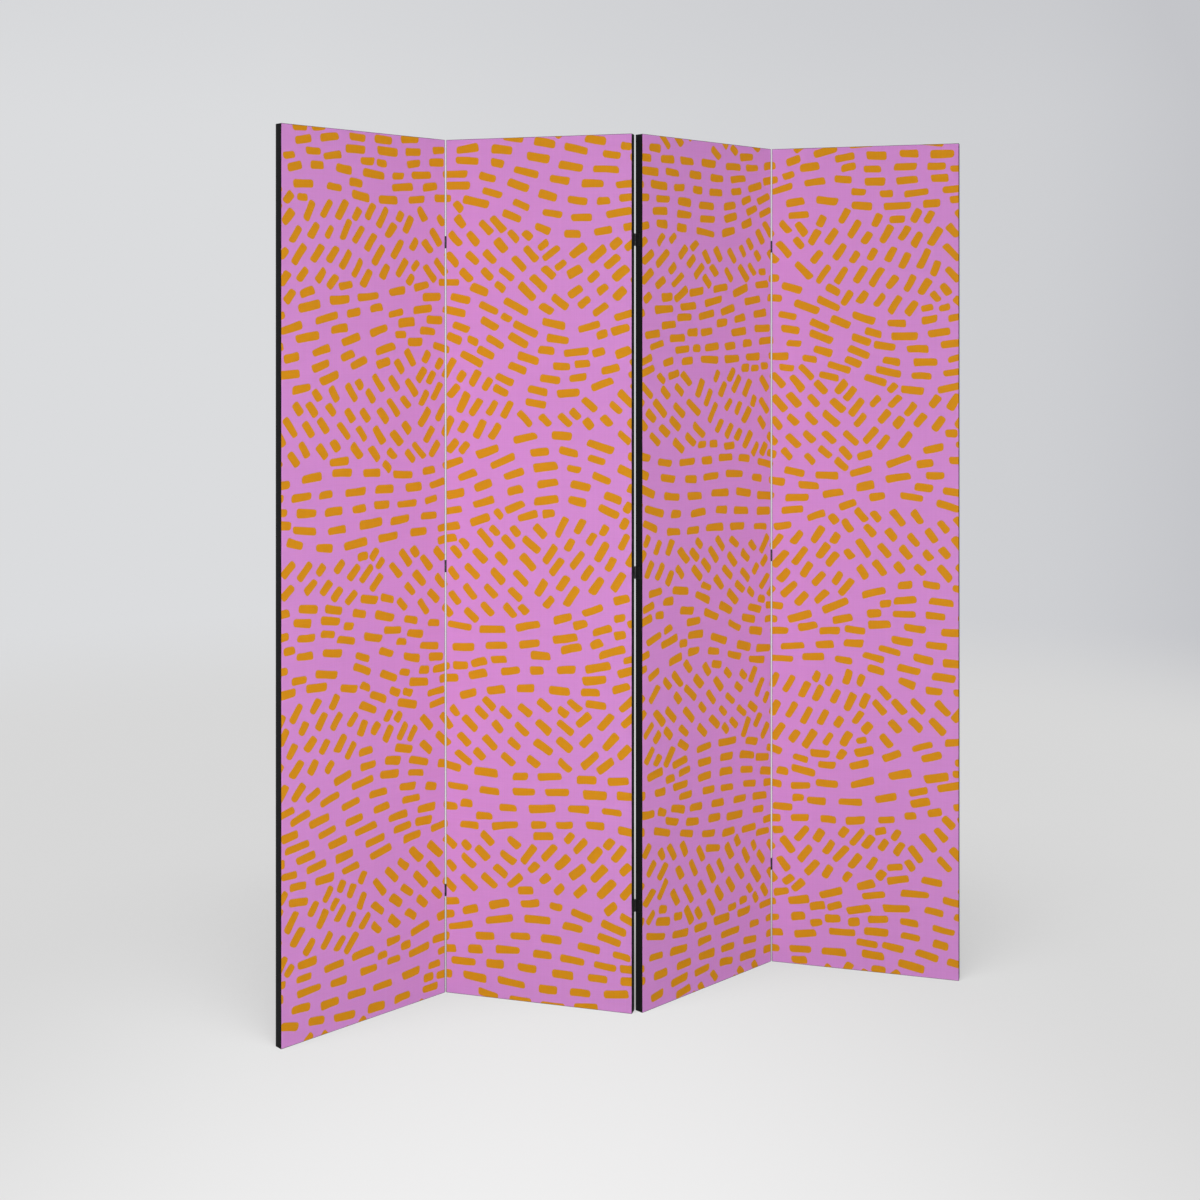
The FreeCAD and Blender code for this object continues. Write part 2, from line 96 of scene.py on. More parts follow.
def feed(tree, node, feeds):
    # a link where the value comes from another node, and otherwise a plain value
    for socket, value in feeds.items():
        if isinstance(value, bpy.types.NodeSocket):
            tree.links.new(value, node.inputs[socket])
        else:
            node.inputs[socket].default_value = value
    return node


def addNode(tree, kind, feeds=None, **settings):
    node = tree.nodes.new("ShaderNode" + kind)
    for setting, value in settings.items():
        setattr(node, setting, value)
    return feed(tree, node, feeds or {})


def maths(tree, operation, *values, clamp=False):
    return addNode(tree, "Math", dict(enumerate(values)), operation=operation, use_clamp=clamp).outputs[0]


def vectorMaths(tree, operation, vector, other):
    return addNode(tree, "VectorMath", {0: vector, 1: other}, operation=operation).outputs[0]


def blendColours(tree, factor, first, second, how="MIX"):
    feeds = {0: factor, 6: first, 7: second}
    return addNode(tree, "Mix", feeds, data_type="RGBA", blend_type=how).outputs[2]


def dotProduct(tree, first, second):
    return addNode(tree, "VectorMath", {0: first, 1: second}, operation="DOT_PRODUCT").outputs["Value"]


def lengthOf(tree, vector):
    return addNode(tree, "VectorMath", {0: vector}, operation="LENGTH").outputs["Value"]


def rescale(tree, value, low, high, newLow=0.0, newHigh=1.0, smooth=False):
    feeds = {"Value": value, "From Min": low, "From Max": high, "To Min": newLow, "To Max": newHigh}
    kind = "SMOOTHSTEP" if smooth else "LINEAR"
    return addNode(tree, "MapRange", feeds, interpolation_type=kind).outputs[0]


def shadeBy(tree, base, tone):
    return blendColours(tree, 1.0, base, tone, "MULTIPLY")


def bump(tree, height, strength, depth):
    feeds = {"Height": height, "Strength": strength, "Distance": depth}
    return addNode(tree, "Bump", feeds).outputs[0]


def noise(tree, vector, scale, detail=2.0, roughness=0.5):
    feeds = {"Vector": vector, "Scale": scale, "Detail": detail, "Roughness": roughness}
    return addNode(tree, "TexNoise", feeds).outputs["Fac"]


def startGroup(name, inputs, outputs):
    group = bpy.data.node_groups.new(name, "ShaderNodeTree")
    for label, kind, value in inputs:
        socket = group.interface.new_socket(name=label, in_out="INPUT", socket_type="NodeSocket" + kind)
        if value is not None:
            socket.default_value = value
    for label, kind in outputs:
        group.interface.new_socket(name=label, in_out="OUTPUT", socket_type="NodeSocket" + kind)
    start = group.nodes.new("NodeGroupInput")
    end = group.nodes.new("NodeGroupOutput")
    return group, start.outputs, end.inputs


def feedGroup(tree, group, feeds):
    node = tree.nodes.new("ShaderNodeGroup")
    node.node_tree = group
    return feed(tree, node, feeds).outputs


def colour(red, green, blue):
    # A colour given as 0 to 255 on screen, for a shader
    def straight(value):
        value /= 255
        return value / 12.92 if value <= 0.04045 else ((value + 0.055) / 1.055) ** 2.4
    return (straight(red), straight(green), straight(blue), 1.0)


# Effects that several materials share

def makeWeave():
    # Plain weave: threads go over and under each other, with painted shade in the hollows between them
    group, given, result = startGroup(
        "Weave",
        [("Vector", "Vector", None), ("Pitch Across", "Float", 0.0008), ("Pitch Along", "Float", 0.0008),
         ("Wander", "Float", 0.3), ("Wander Scale", "Float", 220.0), ("Darkest", "Float", 0.89),
         ("Thread Contrast", "Float", 0.03), ("Painted Hollow Shade", "Float", 0.13)],
        [("Height", "Float"), ("Shade", "Float")],
    )
    wobble = addNode(group, "TexNoise", {"Vector": given["Vector"], "Scale": given["Wander Scale"],
                                         "Detail": 1.0})
    centred = vectorMaths(group, "SUBTRACT", wobble.outputs["Color"], (0.5, 0.5, 0.5))
    reach = maths(group, "MULTIPLY", given["Wander"], given["Pitch Across"])
    moved = addNode(group, "VectorMath", {0: centred, "Scale": reach}, operation="SCALE").outputs[0]
    placed = vectorMaths(group, "ADD", given["Vector"], moved)
    parts = addNode(group, "SeparateXYZ", {0: placed}).outputs
    waves, profiles, sides, threads = [], [], [], []
    for axis, pitch in ((0, "Pitch Across"), (1, "Pitch Along")):
        count = maths(group, "DIVIDE", parts[axis], given[pitch])
        wave = maths(group, "SINE", maths(group, "MULTIPLY", count, math.pi))
        waves.append(wave)
        profiles.append(maths(group, "ABSOLUTE", wave))
        sides.append(maths(group, "SIGN", wave))
        threads.append(maths(group, "FLOOR", count))
    heights = []
    for own, other, sign in ((0, 1, 0.5), (1, 0, -0.5)):
        over = maths(group, "MULTIPLY", sides[own], waves[other])
        lift = maths(group, "MULTIPLY_ADD", over, sign, 0.5)
        heights.append(maths(group, "MULTIPLY", profiles[own], lift))
    top = maths(group, "MAXIMUM", *heights)
    group.links.new(top, result["Height"])
    # each thread is a little lighter or darker than the next
    tones = [
        addNode(group, "TexWhiteNoise", {"W": thread}, noise_dimensions="1D").outputs["Value"]
        for thread in threads
    ]
    both = maths(group, "ADD", *tones)
    tone = maths(group, "MULTIPLY_ADD", both, given["Thread Contrast"], given["Darkest"])
    # painted shade: the hollows between the threads are darker and the thread tops lighter, on top of each
    # thread's own tone
    shade = maths(group, "MULTIPLY_ADD", top, given["Painted Hollow Shade"], tone)
    group.links.new(shade, result["Shade"])
    return group


def makeMottle():
    # Broad soft unevenness with fine specks in it
    group, given, result = startGroup(
        "Mottle",
        [("Vector", "Vector", None), ("Broad Scale", "Float", 6.0), ("Fine Scale", "Float", 300.0),
         ("Broad Share", "Float", 0.6), ("Fine Share", "Float", 0.4), ("Amount", "Float", 0.05)],
        [("Shade", "Float"), ("Mask", "Float")],
    )
    broad = noise(group, given["Vector"], given["Broad Scale"], 3.0)
    fine = noise(group, given["Vector"], given["Fine Scale"], 2.0, 0.6)
    specks = maths(group, "MULTIPLY", fine, given["Fine Share"])
    mask = maths(group, "MULTIPLY_ADD", broad, given["Broad Share"], specks)
    group.links.new(mask, result["Mask"])
    offset = maths(group, "SUBTRACT", mask, 0.5)
    group.links.new(maths(group, "MULTIPLY_ADD", offset, given["Amount"], 1.0), result["Shade"])
    return group


def makeEdgeWear():
    # 1 where an edge has rubbed bare, 0 elsewhere
    group, given, result = startGroup(
        "EdgeWear",
        [("Vector", "Vector", None), ("Width", "Float", 0.0003), ("Amount", "Float", 0.5),
         ("Grit", "Float", 900.0), ("Patches From", "Float", 0.42), ("Patches To", "Float", 0.6)],
        [("Mask", "Float")],
    )
    rounded = addNode(group, "Bevel", {"Radius": given["Width"]}, samples=6).outputs["Normal"]
    normal = addNode(group, "NewGeometry").outputs["Normal"]
    bent = rescale(group, dotProduct(group, rounded, normal), 1.0, 0.8)
    grit = noise(group, given["Vector"], given["Grit"], 4.0, 0.65)
    patchy = rescale(group, grit, given["Patches From"], given["Patches To"])
    worn = maths(group, "MULTIPLY", maths(group, "MULTIPLY", bent, patchy), given["Amount"], clamp=True)
    group.links.new(worn, result["Mask"])
    return group


def makeWoodGrain():
    # Growth rings and fibres that run along X
    group, given, result = startGroup(
        "WoodGrain",
        [("Vector", "Vector", None), ("Early Wood", "Color", None), ("Late Wood", "Color", None),
         ("Ring Count", "Float", 9.0), ("Ring Strength", "Float", 0.75), ("Fibre Scale", "Float", 1400.0),
         ("Fibre Contrast", "Float", 0.3), ("Darkest", "Float", 0.85), ("Ring Relief", "Float", 0.35)],
        [("Color", "Color"), ("Height", "Float")],
    )
    drawn = vectorMaths(group, "MULTIPLY", given["Vector"], (0.05, 1.0, 1.0))
    figure = noise(group, drawn, 16.0, 2.0, 0.4)
    turns = maths(group, "MULTIPLY", maths(group, "MULTIPLY", figure, given["Ring Count"]), 2 * math.pi)
    rings = rescale(group, maths(group, "SINE", turns), -0.2, 1.0, smooth=True)
    hair = vectorMaths(group, "MULTIPLY", given["Vector"], (0.02, 1.0, 1.0))
    fibres = noise(group, hair, given["Fibre Scale"], 3.0, 0.6)
    share = maths(group, "MULTIPLY", rings, given["Ring Strength"])
    ringed = blendColours(group, share, given["Early Wood"], given["Late Wood"])
    tone = maths(group, "MULTIPLY_ADD", fibres, given["Fibre Contrast"], given["Darkest"])
    group.links.new(shadeBy(group, ringed, tone), result["Color"])
    relief = maths(group, "MULTIPLY_ADD", rings, given["Ring Relief"], fibres)
    group.links.new(relief, result["Height"])
    return group


weave = makeWeave()
mottle = makeMottle()
edgeWear = makeEdgeWear()
woodGrain = makeWoodGrain()
print("shared effects made")


def mottled(tree, vector, finish):
    return feedGroup(tree, mottle, {"Vector": vector, "Broad Scale": finish["broadScale"],
                                    "Fine Scale": finish["fineScale"], "Amount": finish["unevenness"]})


def startMaterial(name):
    material = bpy.data.materials.new(name)
    material.use_nodes = True
    tree = material.node_tree
    return material, tree, tree.nodes["Principled BSDF"]


def join(tree, shader, **feeds):
    feed(tree, shader, {socket.replace("_", " "): value for socket, value in feeds.items()})


# Cloth: printed canvas, its bare inner side, and the tape round the edges. Lengths in the
# finishes of cloth, metal and wood are in metres, and the row "all" holds for each of the others.

clothFinish = {
    "ground": {"colour": colour(214, 143, 213), "pitch": (0.0008, 0.0008), "relief": 0.00012,
               "roughness": 0.86, "sheen": 0.02, "unevenness": 0.06},
    "dashes": {"colour": colour(214, 144, 16), "pitch": (0.0008, 0.0008), "relief": 0.00010,
               "roughness": 0.74, "sheen": 0.0, "unevenness": 0.09},
    "bare": {"colour": colour(226, 220, 206), "pitch": (0.0008, 0.0008), "relief": 0.00016,
             "roughness": 0.92, "sheen": 0.1, "unevenness": 0.08},
    "tape": {"colour": colour(17, 17, 19), "pitch": (0.0011, 0.00055), "relief": 0.00018,
             "roughness": 0.86, "sheen": 0.01, "unevenness": 0.25},
    "all": {"broadScale": 5.0, "fineScale": 700.0, "bump": 0.7, "polish": 0.08, "specular": 0.16},
}


def makeClothMaterial(name, key):
    finish = clothFinish["all"] | clothFinish[key]
    material, tree, shader = startMaterial(name)
    onCloth = addNode(tree, "UVMap", uv_map="cloth").outputs["UV"]
    across, along = finish["pitch"]
    threads = feedGroup(tree, weave, {"Vector": onCloth, "Pitch Across": across, "Pitch Along": along})
    uneven = mottled(tree, onCloth, finish)
    # the weave's Shade holds painted shade in the hollows between threads, besides each thread's own tone;
    # the mottle is the cloth's own unevenness
    tone = maths(tree, "MULTIPLY", threads["Shade"], uneven["Shade"])
    shaded = shadeBy(tree, finish["colour"], tone)
    # the tops of the threads are smoother than the hollows between them
    polish = finish["polish"]
    rough = maths(tree, "MULTIPLY_ADD", threads["Height"], -polish, finish["roughness"] + polish / 2)
    raised = bump(tree, threads["Height"], finish["bump"], finish["relief"])
    join(tree, shader, Base_Color=shaded, Roughness=rough, Normal=raised,
         Sheen_Weight=finish["sheen"], Specular_IOR_Level=finish["specular"])
    return material


clothMaterials = {
    key: makeClothMaterial(label, key)
    for key, label in (("ground", "printedGround"), ("dashes", "printedDashes"),
                       ("bare", "bareCanvas"), ("tape", "blackEdgeTape"))
}
print("cloth materials made")

# Metal: painted hinge leaves, blackened screws, pins and staples

metalFinish = {
    "leaves": {"colour": colour(22, 22, 24), "bare": colour(150, 148, 144), "metallic": 0.0,
               "roughness": 0.42, "wear": 0.5, "width": 0.00022, "grit": 1500.0,
               "brush": (1.0, 1.0, 1.0), "relief": 0.00002},
    "screws": {"colour": colour(30, 29, 29), "bare": colour(165, 160, 152), "metallic": 0.6,
               "roughness": 0.36, "wear": 0.7, "width": 0.00012, "grit": 2400.0,
               "brush": (1.0, 1.0, 1.0), "relief": 0.00001},
    "pins": {"colour": colour(46, 45, 45), "bare": colour(176, 174, 170), "metallic": 0.85,
             "roughness": 0.34, "wear": 0.5, "width": 0.00015, "grit": 1800.0,
             "brush": (1.0, 1.0, 0.05), "relief": 0.00001},
    "staples": {"colour": colour(168, 170, 172), "bare": colour(196, 196, 194), "metallic": 0.9,
                "roughness": 0.3, "wear": 0.4, "width": 0.0001, "grit": 2600.0,
                "brush": (1.0, 1.0, 0.1), "relief": 0.00001},
    "all": {"broadScale": 90.0, "fineScale": 3200.0, "unevenness": 0.5, "roughSpread": (-0.1, 0.22),
            "grainScale": 2600.0, "bump": 0.5},
}


def makeMetalMaterial(name, key):
    finish = metalFinish["all"] | metalFinish[key]
    material, tree, shader = startMaterial(name)
    inPlace = addNode(tree, "TexCoord").outputs["Object"]
    brushed = vectorMaths(tree, "MULTIPLY", inPlace, finish["brush"])
    worn = feedGroup(tree, edgeWear, {"Vector": inPlace, "Width": finish["width"], "Amount": finish["wear"],
                                      "Grit": finish["grit"]})["Mask"]
    uneven = mottled(tree, brushed, finish)
    painted = shadeBy(tree, finish["colour"], uneven["Shade"])
    surface = blendColours(tree, worn, painted, finish["bare"])
    least, added = finish["roughSpread"]
    rough = maths(tree, "MULTIPLY_ADD", uneven["Mask"], added, finish["roughness"] + least)
    metal = maths(tree, "MULTIPLY_ADD", worn, 1.0 - finish["metallic"], finish["metallic"], clamp=True)
    grain = noise(tree, brushed, finish["grainScale"], 3.0, 0.6)
    raised = bump(tree, grain, finish["bump"], finish["relief"])
    join(tree, shader, Base_Color=surface, Roughness=rough, Metallic=metal, Normal=raised)
    return material


metalMaterials = {
    key: makeMetalMaterial(label, key)
    for key, label in (("leaves", "blackHingePaint"), ("screws", "blackenedScrews"),
                       ("pins", "hingePinSteel"), ("staples", "galvanisedStaples"))
}

# Wood: spruce frame, beech dowels. The grain runs along each piece.

woodFinish = {
    "spruce": {"early": colour(224, 196, 152), "late": colour(190, 146, 96), "rings": 7.0, "fibres": 1500.0,
               "roughness": 0.62, "relief": 0.00008},
    "beech": {"early": colour(214, 178, 138), "late": colour(186, 142, 104), "rings": 3.0, "fibres": 2600.0,
              "roughness": 0.5, "relief": 0.00004},
    "all": {"broadScale": 9.0, "fineScale": 500.0, "unevenness": 0.16, "roughSpread": (-0.06, 0.12),
            "bump": 0.6, "specular": 0.35},
}


def makeWoodMaterial(name, key, turn, upright):
    finish = woodFinish["all"] | woodFinish[key]
    material, tree, shader = startMaterial(name)
    inPlace = addNode(tree, "TexCoord").outputs["Object"]
    inPanel = addNode(tree, "VectorRotate", {"Vector": inPlace, "Angle": -turn},
                      rotation_type="Z_AXIS").outputs[0]
    if upright:
        parts = addNode(tree, "SeparateXYZ", {0: inPanel}).outputs
        inPanel = addNode(tree, "CombineXYZ", {0: parts[2], 1: parts[0], 2: parts[1]}).outputs[0]
    grain = feedGroup(tree, woodGrain, {"Vector": inPanel, "Early Wood": finish["early"],
                                        "Late Wood": finish["late"], "Ring Count": finish["rings"],
                                        "Fibre Scale": finish["fibres"]})
    shaded = shadeBy(tree, grain["Color"], mottled(tree, inPanel, finish)["Shade"])
    least, added = finish["roughSpread"]
    rough = maths(tree, "MULTIPLY_ADD", grain["Height"], added, finish["roughness"] + least)
    raised = bump(tree, grain["Height"], finish["bump"], finish["relief"])
    join(tree, shader, Base_Color=shaded, Roughness=rough, Normal=raised,
         Specular_IOR_Level=finish["specular"])
    return material


woodMaterials = {}
for turned, sign in (("Left", 1), ("Right", -1)):
    for label, key, upright in (("spruceUpright", "spruce", True), ("spruceAcross", "spruce", False),
                                ("beechDowel", "beech", False)):
        woodMaterials[label, sign] = makeWoodMaterial(label + turned, key, panelTurn(sign), upright)
print("metal and wood materials made")


def dressNode(name, material):
    for slot in frame["nodes"][name].material_slots:
        slot.material = material


for number in screen["panels"]:
    leaning = leanSign(number)
    stem = f"panel_{number}_"
    for bar in ("left_stile", "right_stile"):
        dressNode(stem + bar, woodMaterials["spruceUpright", leaning])
    for bar in ("top_rail", "bottom_rail", "upper_cross_bar", "lower_cross_bar"):
        dressNode(stem + bar, woodMaterials["spruceAcross", leaning])
    dressNode(stem + "dowels", woodMaterials["beechDowel", leaning])
    dressNode(stem + "staples", metalMaterials["staples"])
    for side in hingeFaces[number]:
        dressNode(stem + side + "_hinge_leaves", metalMaterials["leaves"])
        dressNode(stem + side + "_hinge_screws", metalMaterials["screws"])
for joint in ("1_2", "2_3", "3_4"):
    dressNode("hinge_pins_" + joint, metalMaterials["pins"])

# The print: short dashes, in rows that follow wavy bands and in slanted patches between them.
# It runs on across the four panels. Lengths are in mm.

printRules = {
    "seeds": {"front": 3, "back": 8},
    "panelPitch": 404,
    "overhang": 60,             # past the ends of the screen
    "bandCount": 13,
    "bandStart": -150,
    "bandSpread": 300,
    "slowWave": ((22, 46), (700, 1250)),    # least and most height and length of a band border's waves
    "quickWave": ((8, 20), (330, 520)),
    "waveStart": (0, 6.28),
    "borderStep": 40,           # between the places where the height of a band is measured
    "rowPitch": 34,
    "dashWidth": 16.6,
    "rowDash": (28, 62, 46),    # shortest, longest and usual length in the rows
    "rowGap": (18, 32),
    "rowStart": (0, 70),
    "rowUneven": (1.2, 0.035),  # how far a dash strays from its row, and turns from it
    "slantDash": (24, 50, 37),
    "slantGap": (14, 20),
    "slantPitch": (30.5, 35),
    "slantAngle": (40, 60),
    "slantUneven": (1.0, 0.05),
    "slantBow": 0.00035,
    "slantReach": 420,          # from the middle of a patch to its farthest dash
    "slantStart": (0, 50),
    "slantKeep": 0.72,          # how much of half a dash's height stays inside its band
    "patchStart": (-120, 40),
    "patchWidth": (190, 430),
    "patchLean": (-0.5, 0.5),
    "clear": 22.6,              # least distance between the middle lines of two dashes
    "fillStep": 15,
    "fillStray": (-0.4, 0.4),
    "fillMargin": 2,            # steps past the foot and the left end at which the filling starts
    "fillDash": (44, 34, 26),
    "widthSpread": (0.93, 1.07),
    "cell": 80,                 # side of the squares in which near dashes are looked up
}


def lineGap(first, second):
    # least distance between two short lines, by points on the first
    startX, startY, endX, endY = second
    acrossX, acrossY = endX - startX, endY - startY
    square = max(acrossX * acrossX + acrossY * acrossY, 1e-9)
    best = 1e9
    for share in (0, 0.25, 0.5, 0.75, 1):
        x = first[0] + (first[2] - first[0]) * share
        y = first[1] + (first[3] - first[1]) * share
        along = min(1, max(0, ((x - startX) * acrossX + (y - startY) * acrossY) / square))
        best = min(best, math.hypot(x - startX - along * acrossX, y - startY - along * acrossY))
    return best


class DashField:
    # The dashes laid so far, kept apart from each other
    def __init__(self):
        self.lines, self.turns, self.dashes = {}, {}, []

    def near(self, kept, x, y):
        column, row = self.cell(x, y)
        return [item for i in (-1, 0, 1) for j in (-1, 0, 1) for item in kept.get((column + i, row + j), ())]

    def cell(self, x, y):
        return int(x // printRules["cell"]), int(y // printRules["cell"])

    def lay(self, x, y, angle, length, width):
        half = (length - width) / 2
        cosine, sine = math.cos(angle), math.sin(angle)
        line = (x - half * cosine, y - half * sine, x + half * cosine, y + half * sine)
        for other in self.near(self.lines, x, y):
            if min(lineGap(line, other), lineGap(other, line)) < printRules["clear"]:
                return False
        self.lines.setdefault(self.cell(x, y), []).append(line)
        self.turns.setdefault(self.cell(x, y), []).append((x, y, angle))
        self.dashes.append((x, y, angle, length, width))
        return True

    def turnNear(self, x, y):
        # angle of the nearest dash
        turns = self.near(self.turns, x, y)
        return min(turns, key=lambda turn: math.hypot(turn[0] - x, turn[1] - y))[2] if turns else None


def layOutPrint(seed):
    rules = printRules
    chance = random.Random(seed)
    span = rules["panelPitch"] * len(screen["panels"])
    field = DashField()
    step = (screen["height"] + rules["bandSpread"]) / rules["bandCount"]
    waves = [
        [(chance.uniform(*heights), chance.uniform(*lengths), chance.uniform(*rules["waveStart"]))
         for heights, lengths in (rules["slowWave"], rules["quickWave"])]
        for k in range(rules["bandCount"] + 1)
    ]

    def border(k, x):
        bends = [tall * math.sin(2 * math.pi * x / long + start) for tall, long, start in waves[k]]
        return rules["bandStart"] + step * k + sum(bends)

    def width():
        return rules["dashWidth"] * chance.uniform(*rules["widthSpread"])

    first = chance.randrange(2)
    for k in range(first, rules["bandCount"], 2):
        thickest = max(border(k + 1, x) - border(k, x) for x in range(0, span, rules["borderStep"]))
        rows = max(2, round(thickest / rules["rowPitch"]))
        for row in sorted(range(rows), key=lambda j: -abs(j - (rows - 1) / 2)):
            share = (row + 0.5) / rows

            def level(x):
                return border(k, x) * (1 - share) + border(k + 1, x) * share

            x = -rules["overhang"] + chance.uniform(*rules["rowStart"])
            while x < span + rules["overhang"]:
                length = chance.triangular(*rules["rowDash"])
                middle = x + length / 2
                slope = math.atan2(level(middle + 5) - level(middle - 5), 10)
                stray, turn = rules["rowUneven"]
                field.lay(middle, level(middle) + chance.gauss(0, stray), slope + chance.gauss(0, turn),
                          length, width())
                x += length + chance.uniform(*rules["rowGap"])
    reach = rules["slantReach"]
    stray, turn = rules["slantUneven"]
    for k in range(1 - first, rules["bandCount"], 2):
        x = chance.uniform(*rules["patchStart"])
        side = chance.choice((-1, 1))
        while x < span + rules["overhang"]:
            wide = chance.uniform(*rules["patchWidth"])
            tilt = math.radians(chance.uniform(*rules["slantAngle"])) * side
            lean = chance.uniform(*rules["patchLean"])
            middleX = x + wide / 2
            middleY = (border(k, middleX) + border(k + 1, middleX)) / 2
            pitch = chance.uniform(*rules["slantPitch"])
            cosine, sine = math.cos(tilt), math.sin(tilt)
            line = -reach
            while line < reach:
                along = -reach + chance.uniform(*rules["slantStart"])
                while along < reach:
                    length = chance.triangular(*rules["slantDash"])
                    at = along + length / 2
                    bowed = line + rules["slantBow"] * at * at
                    dashX = middleX + at * cosine - bowed * sine
                    dashY = middleY + at * sine + bowed * cosine
                    angle = tilt + math.atan(2 * rules["slantBow"] * at)
                    edge = x + lean * (dashY - middleY)
                    rise = abs(length / 2 * math.sin(angle)) * rules["slantKeep"]
                    inBand = border(k, dashX) + rise < dashY < border(k + 1, dashX) - rise
                    if inBand and edge < dashX < edge + wide:
                        field.lay(dashX + chance.gauss(0, stray), dashY + chance.gauss(0, stray),
                                  angle + chance.gauss(0, turn), length, width())
                    along += length + chance.uniform(*rules["slantGap"])
                line += pitch
            x += wide
            side = -side
    # short dashes in what is still bare, turned as their neighbours are
    spot = rules["fillStep"]
    margin = rules["fillMargin"]
    for row in range(int(screen["height"] / spot) + 2 * margin):
        for column in range(int(span / spot) + 2 * margin):
            x = (column - margin + chance.uniform(*rules["fillStray"])) * spot
            y = (row - margin + chance.uniform(*rules["fillStray"])) * spot
            angle = field.turnNear(x, y)
            if angle is None:
                continue
            for length in rules["fillDash"]:
                if field.lay(x, y, angle + chance.gauss(0, turn), length, width()):
                    break
    return field.dashes


dashShape = {
    "wander": (0.126, 0.09),    # how far a corner strays along and across, in widths
    "cornerCut": (0.3, 0.47),   # length of a side that the rounded corner takes, in widths
    "longestCut": 0.47,         # share of a side
    "roundAt": (0, 0.2, 0.5, 0.8, 1),
    "swell": 0.03,              # of the long sides, in widths
    "bow": 0.5,
}


def dashOutline(dash, chance):
    # A dash as it is cut by hand: rounded corners, ends not quite square, a slight bow
    x, y, angle, length, width = dash
    strayAlong, strayAcross = (share * width for share in dashShape["wander"])
    corners = [
        (sideX * length / 2 + chance.uniform(-1, 1) * strayAlong,
         sideY * width / 2 + chance.uniform(-1, 1) * strayAcross)
        for sideX, sideY in ((-1, -1), (1, -1), (1, 1), (-1, 1))
    ]
    points = []
    for index, corner in enumerate(corners):
        before, after = corners[index - 1], corners[(index + 1) % 4]
        cut = width * chance.uniform(*dashShape["cornerCut"])
        ends = []
        for other in (before, after):
            share = min(cut / math.dist(corner, other), dashShape["longestCut"])
            ends.append([corner[i] + (other[i] - corner[i]) * share for i in (0, 1)])
        for share in dashShape["roundAt"]:
            points.append([
                (1 - share) ** 2 * ends[0][i] + 2 * share * (1 - share) * corner[i] + share ** 2 * ends[1][i]
                for i in (0, 1)
            ])
        if index in (0, 2):     # middle of a long side
            swell = chance.uniform(-1, 1) * dashShape["swell"] * width * (1 if index else -1)
            points.append([(corner[0] + after[0]) / 2, (corner[1] + after[1]) / 2 + swell])
    bow = chance.gauss(0, dashShape["bow"])
    cosine, sine = math.cos(angle), math.sin(angle)
    outline = []
    for along, side in points:
        side += bow * (1 - (2 * along / length) ** 2)
        outline.append((x + along * cosine - side * sine, y + along * sine + side * cosine))
    return outline


# Cloth is cut flat, along its folds and round each printed dash, and then bent into place.

def cutFlat(outline, cutouts=(), shapes=(), creases=(), dots=()):
    points, edges, loops = [], [], []
    for loop in (outline, *cutouts, *shapes):
        loops.append(list(range(len(points), len(points) + len(loop))))
        points += [Vector(point) for point in loop]
    for start, end in creases:
        edges.append((len(points), len(points) + 1))
        points += [Vector(start), Vector(end)]
    points += [Vector(point) for point in dots]
    flat, _, triangles, _, _, sources = delaunay_2d_cdt(points, edges, loops, 1, 1e-4)
    kept, inked = [], []
    for triangle, source in zip(triangles, sources):
        if 0 in source and not any(1 <= s <= len(cutouts) for s in source):
            kept.append(triangle)
            inked.append(any(s > len(cutouts) for s in source))
    return np.array([tuple(point) for point in flat]), np.array(kept), np.array(inked, bool)


clothMaking = {
    "innerAside": 1000.0,   # between the outer and the inner side of a cloth on its map
    "creaseAngle": 40,      # a sharper fold than this shows as an edge
    "foldAt": (0, 0.25, 0.5, 0.75, 1),      # where a rounded fold is divided
}


def makeCloth(name, cut, bend, thickness, materials):
    flat, triangles, inked = cut
    outer, inner = bend(flat, 0.0), bend(flat, thickness)
    used = np.unique(triangles)
    # points that the bending brings together become one
    _, first, merged = np.unique(np.round(outer[used], 3), axis=0, return_index=True, return_inverse=True)
    newId = np.zeros(len(flat), int)
    newId[used] = merged.ravel()
    count = len(first)
    vertices = np.concatenate([outer[used][first], inner[used][first]]) * toMetres
    top = newId[triangles]
    whole = (top[:, 0] != top[:, 1]) & (top[:, 1] != top[:, 2]) & (top[:, 0] != top[:, 2])
    top, corners, inked = top[whole], triangles[whole], inked[whole]
    directed = {}
    for face, ids in zip(top.tolist(), corners.tolist()):
        for i in range(3):
            directed[face[i], face[(i + 1) % 3]] = (ids[i], ids[(i + 1) % 3])
    rim = [(pair, ids) for pair, ids in directed.items() if (pair[1], pair[0]) not in directed]
    faces = top.tolist() + (top[:, ::-1] + count).tolist()
    faces += [[b, a, a + count, b + count] for (a, b), _ in rim]
    mesh = bpy.data.meshes.new(name)
    mesh.from_pydata(vertices.tolist(), [], faces)
    for material in materials:
        mesh.materials.append(material)
    # material of each face, and its place on the cloth
    last = len(materials) - 1
    slots = np.concatenate([np.where(inked, 1, 0), np.full(len(top) + len(rim), last)])
    mesh.polygons.foreach_set("material_index", slots.astype(np.int32))
    layer = mesh.uv_layers.new(name="cloth")
    aside = np.array([clothMaking["innerAside"], 0.0])
    offEdge = np.array([[0, 0], [0, 0], [thickness, 0], [thickness, 0]])
    rimPlaces = [flat[[b, a, a, b]] + offEdge for _, (a, b) in rim]
    places = np.concatenate([flat[corners].reshape(-1, 2), flat[corners[:, ::-1]].reshape(-1, 2) + aside]
                            + rimPlaces) * toMetres
    layer.data.foreach_set("uv", places.astype(np.float32).ravel())
    mesh.polygons.foreach_set("use_smooth", np.ones(len(faces), bool))
    mesh.set_sharp_from_angle(angle=math.radians(clothMaking["creaseAngle"]))
    mesh.validate()
    piece = bpy.data.objects.new(name, mesh)
    bpy.context.scene.collection.objects.link(piece)
    return piece


def circle(x, y, radius, count=20):
    return [(x + radius * math.cos(2 * math.pi * i / count), y + radius * math.sin(2 * math.pi * i / count))
            for i in range(count)]


